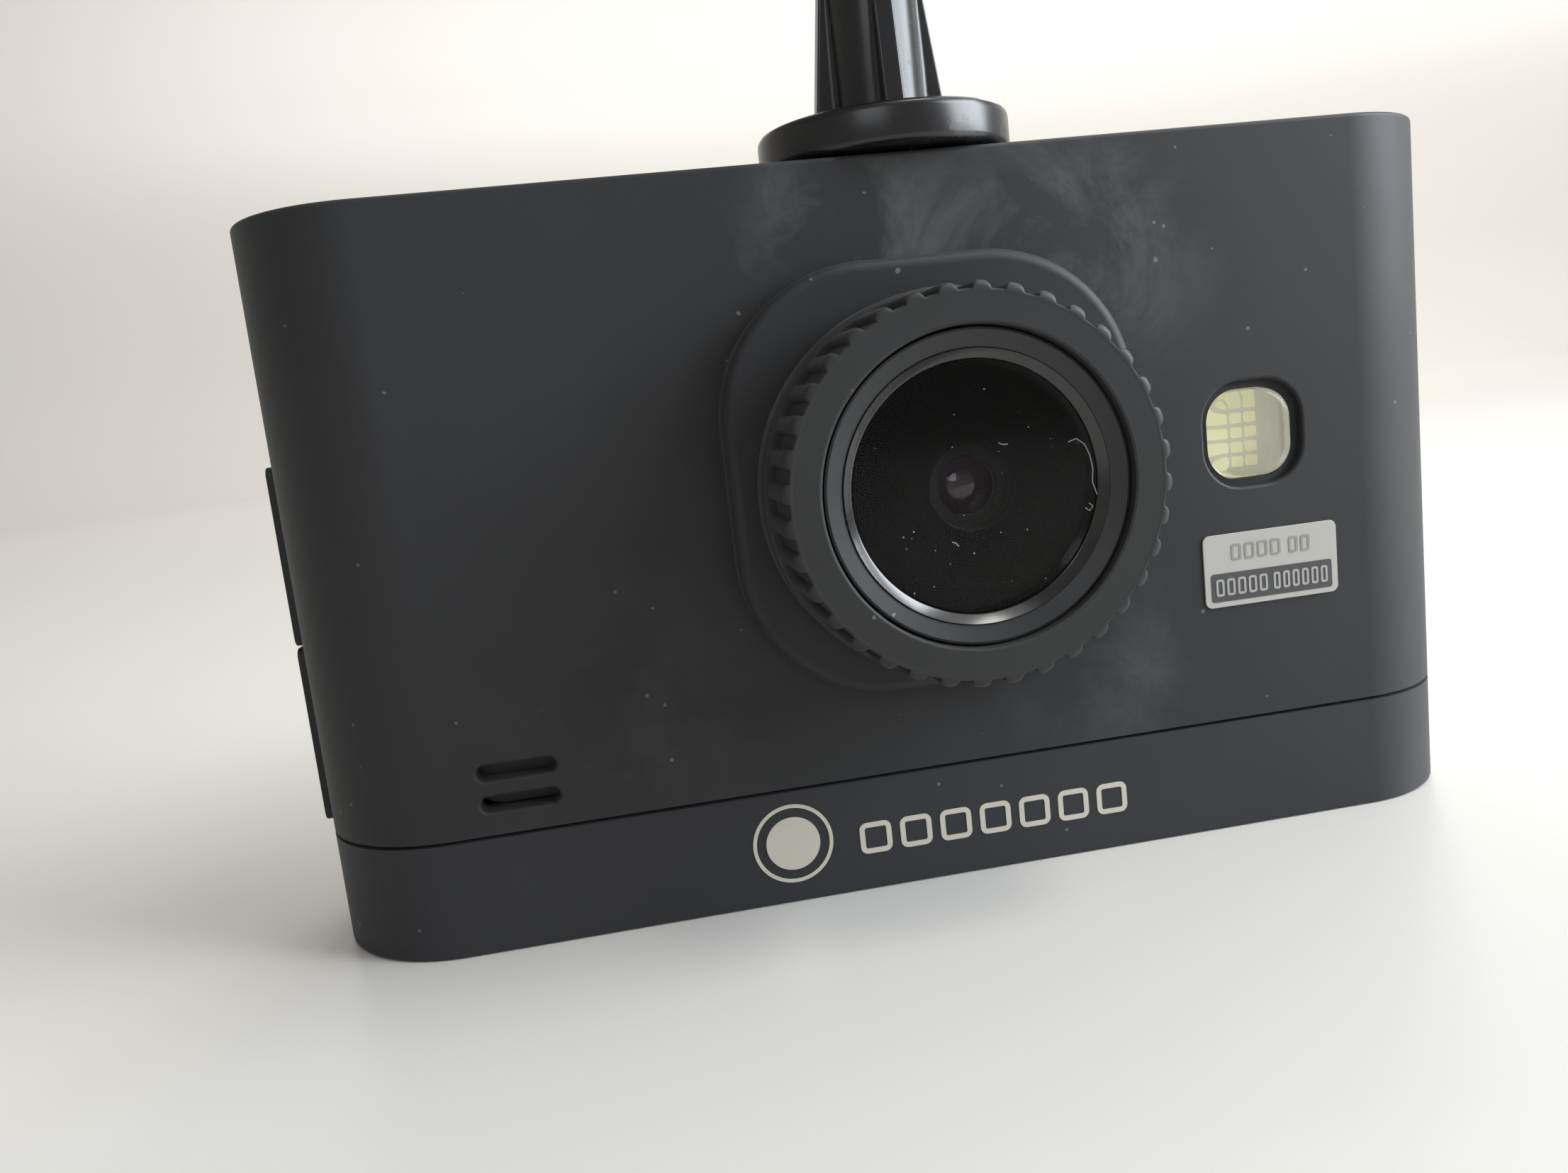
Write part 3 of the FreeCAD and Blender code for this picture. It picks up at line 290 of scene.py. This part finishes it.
def reskin(node, body, edge):
    """Show a welded, evenly shaded copy of a CAD piece in its place, its edges eased."""
    bm = bmesh.new()
    bm.from_mesh(NODES[node].data)
    for kind in (bm.loops.layers.float_vector, bm.loops.layers.uv):
        for layer in list(kind.values()):
            kind.remove(layer)
    bmesh.ops.remove_doubles(bm, verts=bm.verts, dist=2e-7)
    bmesh.ops.dissolve_limit(bm, angle_limit=0.0008, verts=bm.verts, edges=bm.edges)
    made = add_piece(node + "_skin", bm, NODES[node].data.materials[0], body, 30.0)
    if "custom_normal" in made.data.attributes:
        made.data.attributes.remove(made.data.attributes["custom_normal"])
    if edge:
        ease = made.modifiers.new("eased_edges", "BEVEL")
        ease.width = edge * MM
        ease.segments = 2
        ease.limit_method = "ANGLE"
        ease.angle_limit = math.radians(35)
        ease.miter_outer = "MITER_ARC"
    even = made.modifiers.new("even_faces", "WEIGHTED_NORMAL")
    even.keep_sharp = True
    even.weight = 100
    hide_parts(node)


def weave(bm, rings, loop=False, closed_ends=True):
    """Join rings of points, all equally long, into a skin. A ring of one point makes a tip."""
    made = [[bm.verts.new(point) for point in ring] for ring in rings]
    pairs = list(zip(made, made[1:]))
    if loop:
        pairs.append((made[-1], made[0]))
    for a, b in pairs:
        count = max(len(a), len(b))
        for k in range(count):
            n = (k + 1) % count
            corners = [a[k % len(a)], b[k % len(b)], b[n % len(b)], a[n % len(a)]]
            unique = list(dict.fromkeys(corners))
            if len(unique) > 2:
                bm.faces.new(unique)
    if closed_ends and not loop:
        for ring in (made[0], made[-1]):
            if len(ring) > 2:
                bm.faces.new(ring)


def before_face(x, z, out):
    """A point off the lens axis by x and z, `out` in front of the body's face."""
    return Vector((LENS[0] + x, FACE - out, LENS[1] + z)) * MM


def lens_point(radius, angle, out):
    return before_face(radius * math.cos(angle), radius * math.sin(angle), out)


def post_point(x, y, z):
    """A point off the post's axis by x and y."""
    return Vector((POST[0] + x, POST[1] + y, z)) * MM


def post_turn(radius, angle, z):
    return post_point(radius * math.cos(angle), radius * math.sin(angle), z)


def turned(name, profile, point, material, body, turns, sharp=35.0):
    """Solid of revolution from (radius, level) corners, a ring of `point` at each.

    Radius 0 closes an end; a profile with none of it is a closed loop.
    """
    bm = bmesh.new()
    rings = []
    for radius, level in profile:
        steps = 1 if radius == 0 else turns
        rings.append([point(radius, math.tau * k / turns, level) for k in range(steps)])
    weave(bm, rings, loop=all(radius > 0 for radius, level in profile))
    return add_piece(name, bm, material, body, sharp)


def arc(cx, cy, radius, start, end, steps):
    """Points along an arc, from one angle to another."""
    turns = [start + (end - start) * k / steps for k in range(steps + 1)]
    return [(cx + radius * math.cos(turn), cy + radius * math.sin(turn)) for turn in turns]


def rounded_outline(x, z, wide, tall, corner, steps=7):
    """Counter-clockwise outline of a rounded rectangle."""
    points = []
    for turn, (sx, sz) in enumerate(((1, 1), (-1, 1), (-1, -1), (1, -1))):
        cx = x + sx * (wide / 2 - corner)
        cz = z + sz * (tall / 2 - corner)
        points += arc(cx, cz, corner, turn * math.pi / 2, (turn + 1) * math.pi / 2, steps)
    return points


def face_plate(bm, outline, back, front, edge=0.0, inner=None):
    """Plate parallel to the face, between two y planes: a frame, or with its front edge rounded."""
    def ring(points, y):
        return [Vector((x, y, z)) * MM for x, z in points]
    if inner:
        weave(bm, [ring(outline, back), ring(outline, front), ring(inner, front),
                   ring(inner, back)], loop=True)
        return
    if not edge:
        weave(bm, [ring(outline, back), ring(outline, front)])
        return
    mx = sum(x for x, z in outline) / len(outline)
    mz = sum(z for x, z in outline) / len(outline)
    half = max(x for x, z in outline) - mx
    levels = [ring(outline, back)]
    for k in range(5):
        angle = k / 4 * math.pi / 2
        keep = 1 - edge * (1 - math.cos(angle)) / half
        rim = [(mx + (x - mx) * keep, mz + (z - mz) * keep) for x, z in outline]
        levels.append(ring(rim, front + edge * (1 - math.sin(angle))))
    weave(bm, levels)


def tube_along(bm, points, radius, sides=6):
    """Thin closed tube through points, all in metres."""
    rings = []
    for k, point in enumerate(points):
        ahead = points[min(k + 1, len(points) - 1)] - points[max(k - 1, 0)]
        across = ahead.cross(Vector((0.3, 1, 0.2))).normalized()
        other = ahead.cross(across).normalized()
        angles = [math.tau * s / sides for s in range(sides)]
        rings.append([point + (across * math.cos(a) + other * math.sin(a)) * radius
                      for a in angles])
    weave(bm, rings)


# ---------------------------------------------------------------- lens
TEETH = 36
TOOTH_SHARE = 0.57       # of the pitch
VALLEY = 11.33           # radius between the teeth
TOOTH_HEIGHT = 0.47
RING_FRONT = 10.5        # all fronts and levels here are in front of the body's face
RING_BORE = 9.35
GROOVE_DEPTH = 0.02      # turning grooves in the ring's front
GROOVE_STEP = 0.095
GLASS_FRONT = 9.35
LINT_RADIUS = 0.028


def tooth_samples():
    """(angle, height 0 to 1) once round the knurled ring, for rounded teeth and flat valleys."""
    pitch = math.tau / TEETH
    half = (0.3, 0.55, 0.74, 0.86, 0.94, 0.985, 1)
    across = (*(-s for s in reversed(half)), 0, *half)
    samples = []
    for tooth in range(TEETH):
        middle = (tooth + 0.5) * pitch
        for s in across:
            height = (1 - abs(s) ** 3.0) ** 0.5
            samples.append((middle + s * TOOTH_SHARE / 2 * pitch, height))
        samples.append((middle + pitch / 2, 0.0))
    return samples


def knurled_ring():
    samples = tooth_samples()

    def circle(radius, out):
        return [lens_point(radius, angle, out) for angle, height in samples]

    collar = ((10.1, 2.6), (12.0, 2.6), (12.05, 2.72), (12.05, 5.15), (12.0, 5.3),
              (11.84, 5.42), (11.8, 5.5), (11.8, 5.6))
    rings = [circle(radius, out) for radius, out in collar]
    for out, radius, share in ((5.62, VALLEY, 1.0), (9.9, VALLEY, 1.0), (10.15, VALLEY, 0.96),
                               (10.32, 11.32, 0.82), (10.43, 11.30, 0.58),
                               (10.485, 11.27, 0.3), (RING_FRONT, 11.22, 0.08)):
        rings.append([lens_point(radius + TOOTH_HEIGHT * height * share, angle, out)
                      for angle, height in samples])
    step = 0
    radius = 11.12
    while radius > 9.56:
        rings.append(circle(radius, RING_FRONT - GROOVE_DEPTH * (step % 2)))
        radius -= GROOVE_STEP
        step += 1
    bore = ((9.5, 10.49), (9.4, 10.43), (RING_BORE, 10.28), (RING_BORE, 5.0), (10.1, 5.0))
    rings += [circle(radius, out) for radius, out in bore]
    bm = bmesh.new()
    weave(bm, rings, loop=True)
    made = add_piece("knurled_ring_detail", bm, RING, "turning_ring", 32.0)
    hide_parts("knurled_ring")


def lens_front():
    glass = turned("cover_glass_disc",
                   [(0, 8.3), (7.45, 8.3), (7.45, 9.25), (7.36, 9.34), (3.0, GLASS_FRONT),
                    (0, GLASS_FRONT)],
                   lens_point, COVER_GLASS, "camera_body", 160)
    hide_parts("cover_glass")
    turned("glass_mask", [(2.6, 8.16), (7.46, 8.16), (7.46, 8.24), (2.6, 8.24)],
           lens_point, MASK, "camera_body", 160)
    trim = turned("trim_ring_detail",
                  [(7.5, 8.15), (8.06, 8.15), (8.06, 9.8), (8.02, 9.84), (7.56, 9.37), (7.5, 9.33)],
                  lens_point, TRIM, "camera_body", 192)
    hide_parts("trim_ring")
    barrel = turned("barrel_detail",
                    [(4.6, -6.2), (6.0, -6.2), (6.0, 2.5), (6.2, 2.5), (6.2, 7.5), (6.1, 7.6),
                     (2.75, 7.6), (2.7, 7.55), (2.5, 7.3), (1.85, 7.25), (1.75, 7.15),
                     (1.75, 6.9), (3.4, 6.9), (3.4, -4.8), (4.6, -4.8)],
                    lens_point, BARREL, "camera_body", 160)
    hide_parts("lens_barrel")
    dome = [(0, 4.9), (3.35, 4.9), (3.35, 5.3)]
    for k in range(12):
        angle = math.radians(18 + 6 * k)
        dome.append((2.1 * math.cos(angle), 4.75 + 2.1 * math.sin(angle)))
    dome.append((0, 6.85))
    lens = turned("front_lens_dome", dome, lens_point, OPTIC, "camera_body", 96)
    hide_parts("front_lens")
    turned("iris_plate", [(0, 3.6), (3.38, 3.6), (3.38, 3.7), (0.9, 3.7), (0, 3.7)],
           lens_point, IRIS, "camera_body", 64)


def lint():
    """Stray fibres and grains on the glass, which are off the lens axis by these x and z."""
    bm = bmesh.new()
    curls = [[(5.8, 2.0), (6.3, 2.15), (6.8, 1.75), (7.05, 1.1), (7.2, 0.3), (7.1, -0.5),
              (7.35, -1.3)],
             [(6.55, -2.0), (6.8, -2.2), (7.05, -1.95), (6.8, -1.75)],
             [(1.55, 2.45), (1.8, 2.3), (2.1, 2.32)],
             [(-1.75, -3.0), (-1.55, -3.1), (-1.4, -3.3)]]
    for curl in curls:
        points = [before_face(x, z, GLASS_FRONT + 0.02 + 0.03 * (k % 2))
                  for k, (x, z) in enumerate(curl)]
        tube_along(bm, points, LINT_RADIUS * MM)
    chance = random.Random(7)
    for _ in range(26):
        angle = chance.uniform(0, math.tau)
        radius = 7.2 * math.sqrt(chance.random())
        size = chance.uniform(0.02, 0.055)
        place = Matrix.Translation(lens_point(radius, angle, GLASS_FRONT + size * 0.4))
        bmesh.ops.create_icosphere(bm, subdivisions=1, radius=1.0,
                                   matrix=place @ Matrix.Scale(size * MM, 4))
    add_piece("lint_on_glass", bm, LINT, "camera_body")


# ---------------------------------------------------------------- label, band and lamp
def boxes(bm, xs, z, tall, y, stroke, corner=0.18):
    """Small outlined boxes, one per (middle, width), standing 0.03 out of a y plane."""
    for x, wide in xs:
        outer = rounded_outline(x, z, wide, tall, corner, 4)
        inner = rounded_outline(x, z, wide - 2 * stroke, tall - 2 * stroke,
                                max(corner - stroke, 0.04), 4)
        face_plate(bm, outer, y + 0.01, y - 0.03, inner=inner)


def row(start, end, count, gap):
    """(middle, width) of each of `count` boxes that fill a length."""
    wide = (end - start - gap * (count - 1)) / count
    return [(start + wide / 2 + k * (wide + gap), wide) for k in range(count)]


def label_print():
    x, z = LABEL_AT
    upper = z + 1.22
    lower = z - 1.17
    strip_front = LABEL_FRONT - 0.02
    bm = bmesh.new()
    face_plate(bm, rounded_outline(x, lower, 9.1, 2.0, 0.2, 4), LABEL_FRONT + 0.01, strip_front)
    add_piece("label_strip", bm, LABEL_STRIP, "camera_body")
    bm = bmesh.new()
    boxes(bm, row(x - 2.95, x + 0.75, 4, 0.22), upper, 1.15, LABEL_FRONT, 0.17)
    boxes(bm, row(x + 1.35, x + 2.95, 2, 0.22), upper, 1.15, LABEL_FRONT, 0.17)
    add_piece("label_top_boxes", bm, LABEL_INK, "camera_body")
    bm = bmesh.new()
    boxes(bm, row(x - 4.2, x - 0.35, 5, 0.2), lower, 1.2, strip_front, 0.16)
    boxes(bm, row(x + 0.1, x + 4.2, 6, 0.2), lower, 1.2, strip_front, 0.16)
    add_piece("label_strip_boxes", bm, LABEL_PALE, "camera_body")


def band_print():
    """A plain disc in a thin ring, and a row of seven boxes."""
    bm = bmesh.new()
    boxes(bm, row(-5.8, 13.5, 7, 0.62), 3.7, 2.2, FACE, 0.36, 0.5)
    add_piece("band_boxes", bm, CREAM, "camera_body")
    bm = bmesh.new()
    back, front = FACE + 0.01, FACE - 0.03
    face_plate(bm, rounded_outline(*DISC_AT, 3.7, 3.7, 1.84, 10), back, front)
    face_plate(bm, rounded_outline(*DISC_AT, 5.5, 5.5, 2.74, 12), back, front,
               inner=rounded_outline(*DISC_AT, 5.0, 5.0, 2.49, 12))
    add_piece("band_disc", bm, CREAM, "camera_body")


def lamp():
    """Clear window with its flange, the light cells behind it and the tray around them.

    Cells, emitter plate and tray glow faintly: painted light for room light through the window.
    """
    x, z = LAMP_AT
    bm = bmesh.new()
    face_plate(bm, rounded_outline(x, z, 8.0, 8.0, 2.2), -7.75, -8.35)
    face_plate(bm, rounded_outline(x, z, 6.0, 6.0, 2.1, 12), -8.3, -9.98, edge=0.6)
    window = add_piece("lamp_window_pillow", bm, CLEAR, "camera_body", 60.0)
    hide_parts("lamp_window")
    bm = bmesh.new()
    for column in range(4):
        for line in range(5):
            outline = rounded_outline(x - 2.0 + column * 1.05, z - 2.0 + line, 0.78, 0.72, 0.15, 3)
            face_plate(bm, outline, -6.95, -7.2)
    # the cells glow faintly with painted light
    add_piece("emitter_cells", bm, PHOSPHOR_PAINTED_GLOW, "camera_body")
    # the emitter plate takes the tray's faint painted glow
    NODES["lamp_emitter"].data.materials[0] = REFLECTOR_PAINTED_GLOW
    bm = bmesh.new()
    face_plate(bm, rounded_outline(x, z, 6.6, 6.6, 1.6), -6.6, -8.2,
               inner=rounded_outline(x, z, 5.9, 5.9, 1.3))
    face_plate(bm, rounded_outline(x, z, 6.4, 6.4, 1.6), -6.3, -6.6)
    add_piece("lamp_tray", bm, REFLECTOR_PAINTED_GLOW, "camera_body")


# ---------------------------------------------------------------- mount post
FLANGE_LOW = 48.75
FLANGE_TOP = 51.4
RIB_HALF = 0.65
RIB_REACH = 4.6          # at the flange; the ribs end in the core at its top
CORE = 3.1
CORE_TOP = 64.0
BALL = 6.0
BALL_MIDDLE = 72.5


def half_rib(reach):
    """Outline from the middle of a rib's outer face, round its root, to halfway to the next."""
    fillet = max(0.02, min(0.55, 0.5 * (reach - 3.05)))
    round_off = min(0.14, 0.4 * (reach - 3.04))
    root_x = math.sqrt((CORE + fillet) ** 2 - (RIB_HALF + fillet) ** 2)
    root_y = RIB_HALF + fillet
    meet = math.atan2(root_y, root_x)
    points = [(reach, 0.0), (reach, RIB_HALF * 0.5)]
    points += arc(reach - round_off, RIB_HALF - round_off, round_off, 0.0, math.pi / 2, 4)
    points += arc(root_x, root_y, fillet, -math.pi / 2, meet - math.pi, 6)
    points += arc(0.0, 0.0, CORE, meet, math.pi / 4, 5)[1:]
    return points


def post_section(z):
    """Four ribs that taper into a round core, with filleted roots."""
    share = min(max((z - FLANGE_TOP) / (CORE_TOP - FLANGE_TOP), 0.0), 1.0)
    half = half_rib(RIB_REACH + (CORE - RIB_REACH) * share)
    quarter = [(x, -y) for x, y in reversed(half[1:-1])] + half
    points = []
    for number in range(4):
        cos, sin = math.cos(number * math.pi / 2), math.sin(number * math.pi / 2)
        points += [post_point(x * cos - y * sin, x * sin + y * cos, z) for x, y in quarter]
    return points


def mount_post():
    """Flange, finned post, ball and sliding foot, all in place of the CAD bracket."""
    turned("post_flange",
           [(0, FLANGE_LOW), (8.2, FLANGE_LOW), (8.42, 48.82), (8.56, 49.0), (8.6, 49.25),
            (8.6, 50.8), (8.55, 51.1), (8.38, 51.32), (8.1, FLANGE_TOP), (0, FLANGE_TOP)],
           post_turn, GLOSS, "bracket", 128, 50.0)
    bm = bmesh.new()
    heights = (51.3, FLANGE_TOP, 53.0, 55.0, 57.0, 59.0, 61.0, 62.5, 63.5, CORE_TOP)
    weave(bm, [post_section(z) for z in heights])
    add_piece("post_ribs", bm, GLOSS, "bracket", 32.0)
    knob = [(0, 63.6), (3.12, 63.6), (3.12, CORE_TOP), (2.42, 67.01)]
    for k in range(4, 26):
        angle = k / 26 * math.pi
        if BALL_MIDDLE - BALL * math.cos(angle) > 67.1:
            knob.append((BALL * math.sin(angle), BALL_MIDDLE - BALL * math.cos(angle)))
    knob.append((0, BALL_MIDDLE + BALL))
    turned("post_ball", knob, post_turn, GLOSS, "bracket", 64, 40.0)
    bm = bmesh.new()
    slide_plate = ((-4.3, -7.6, 45.5), (8.7, 6.4, 47.0))
    neck = ((-1.6, -7.6, 46.0), (6.0, 4.4, 49.9))
    for low, high in (slide_plate, neck):
        size = Vector(high) - Vector(low)
        middle = (Vector(high) + Vector(low)) / 2
        place = Matrix.Translation(middle * MM) @ Matrix.Diagonal((*(size * MM), 1))
        bmesh.ops.create_cube(bm, size=1.0, matrix=place)
    foot = add_piece("post_foot", bm, GLOSS, "bracket")
    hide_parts("mount_bracket")


# CAD pieces shown as welded copies: node, body it rides, how far its edges are eased
RESKINNED = (
    ("front_shell", "camera_body", 0.0), ("bottom_cover", "camera_body", 0.0),
    ("rear_shell", "camera_body", 0.0), ("slot_rail", "camera_body", 0.15),
    ("lens_tube", "camera_body", 0.0), ("display_window", "camera_body", 0.12),
    ("top_button", "top_button", 0.0), ("side_key_upper", "upper_key", 0.2),
    ("side_key_lower", "lower_key", 0.2), ("suction_housing", "suction_head", 0.3),
    ("suction_cup", "cup", 0.15), ("suction_lever", "lever", 0.35),
    ("lock_nut", "lock_nut", 0.2), ("info_label", "camera_body", 0.03))
for node, body, edge in RESKINNED:
    reskin(node, body, edge)
knurled_ring()
lens_front()
lamp()
label_print()
band_print()
lint()
mount_post()


# ---------------------------------------------------------------- stage, light and camera
CAMERA_PLACE = (-19.8, -87.0, 33.6)
CAMERA_AHEAD = (0.1366, 0.9791, -0.1509)
CAMERA_ROLL = -6.48      # degrees
WARM = (1.0, 0.98, 0.95)
SOFT_WHITE = (1.0, 0.99, 0.97)
# name, place, target, width, height, power in watts, colour; in metres
LIGHTS = (
    ("ceiling", (0.55, 0.25, 1.3), (0.2, 0.1, 0), 1.9, 1.9, 12.5, (1.0, 0.985, 0.965)),
    ("ceiling_lamp", (0.20, -0.131, 0.64), (0, 0, 0.03), 0.20, 0.12, 0.85, WARM),
    ("window_right", (0.46, -0.16, 0.24), (0.05, 0, 0.03), 0.36, 0.34, 5.2, (0.88, 0.94, 1.0)),
    ("wall_wash", (0.35, 0.75, 1.15), (0.5, 1.7, 0.25), 1.2, 0.3, 13.0, WARM),
    ("far_lamp_left", (0.22, 1.05, 0.66), (0, 0, 0), 0.14, 0.14, 1.1, SOFT_WHITE),
    ("far_lamp_right", (0.62, 1.0, 0.66), (0, 0, 0), 0.14, 0.14, 1.1, SOFT_WHITE),
    ("left_fill", (-0.30, -0.75, 0.45), (0, 0, 0.03), 0.4, 0.4, 1.2, (0.90, 0.95, 1.0)))


def stage_floor():
    """Pale round table top that curves up into a wall, in metres."""
    flat = 1.1
    bend = 0.6
    profile = [(0.0, 0.0), (0.35, 0.0), (0.9, 0.0), (flat, 0.0)]
    for k in range(1, 13):
        a = k / 12 * math.radians(80)
        profile.append((flat + bend * math.sin(a), bend * (1 - math.cos(a))))
    profile.append((1.75, 1.0))
    turns = 96
    rings = []
    for r, z in profile:
        angles = [math.tau * k / turns for k in range(turns if r else 1)]
        rings.append([(r * math.cos(a), r * math.sin(a), z) for a in angles])
    bm = bmesh.new()
    weave(bm, rings, closed_ends=False)
    mesh = bpy.data.meshes.new("pale_floor")
    bm.to_mesh(mesh)
    bm.free()
    mesh.polygons.foreach_set("use_smooth", [True] * len(mesh.polygons))
    floor = bpy.data.objects.new("pale_floor", mesh)
    bpy.context.scene.collection.objects.link(floor)
    table = Nodes("pale_table").plain(colour=(0.60, 0.583, 0.552), rough=0.30, level=0.4)
    mesh.materials.append(table.material)


def area_light(name, place, target, width, height, power, colour):
    data = bpy.data.lights.new(name, "AREA")
    data.shape = "RECTANGLE"
    data.size = width
    data.size_y = height
    data.energy = power
    data.color = colour
    made = bpy.data.objects.new(name, data)
    made.location = place
    aim = Vector(target) - Vector(place)
    made.rotation_euler = aim.to_track_quat("-Z", "Y").to_euler()
    made.visible_camera = False
    bpy.context.scene.collection.objects.link(made)


def soft_room():
    world = bpy.data.worlds.new("soft_room")
    world.use_nodes = True
    background = world.node_tree.nodes["Background"]
    background.inputs["Color"].default_value = (0.97, 0.985, 1.0, 1)
    background.inputs["Strength"].default_value = 0.23
    bpy.context.scene.world = world
    for light in LIGHTS:
        area_light(*light)
    bpy.context.scene.view_settings.view_transform = "Standard"


def aim_camera():
    data = bpy.data.cameras.new("camera")
    data.lens = 27.5
    data.sensor_width = 36.0
    data.clip_start = 0.005
    camera = bpy.data.objects.new("camera", data)
    ahead = Vector(CAMERA_AHEAD).normalized()
    level = ahead.cross(Vector((0, 0, 1))).normalized()
    right = Matrix.Rotation(-math.radians(CAMERA_ROLL), 3, ahead) @ level
    up = right.cross(ahead)
    turn = Matrix((right, up, -ahead)).transposed().to_4x4()
    camera.matrix_world = Matrix.Translation(Vector(CAMERA_PLACE) * MM) @ turn
    bpy.context.scene.collection.objects.link(camera)
    bpy.context.scene.camera = camera


stage_floor()
soft_room()
aim_camera()
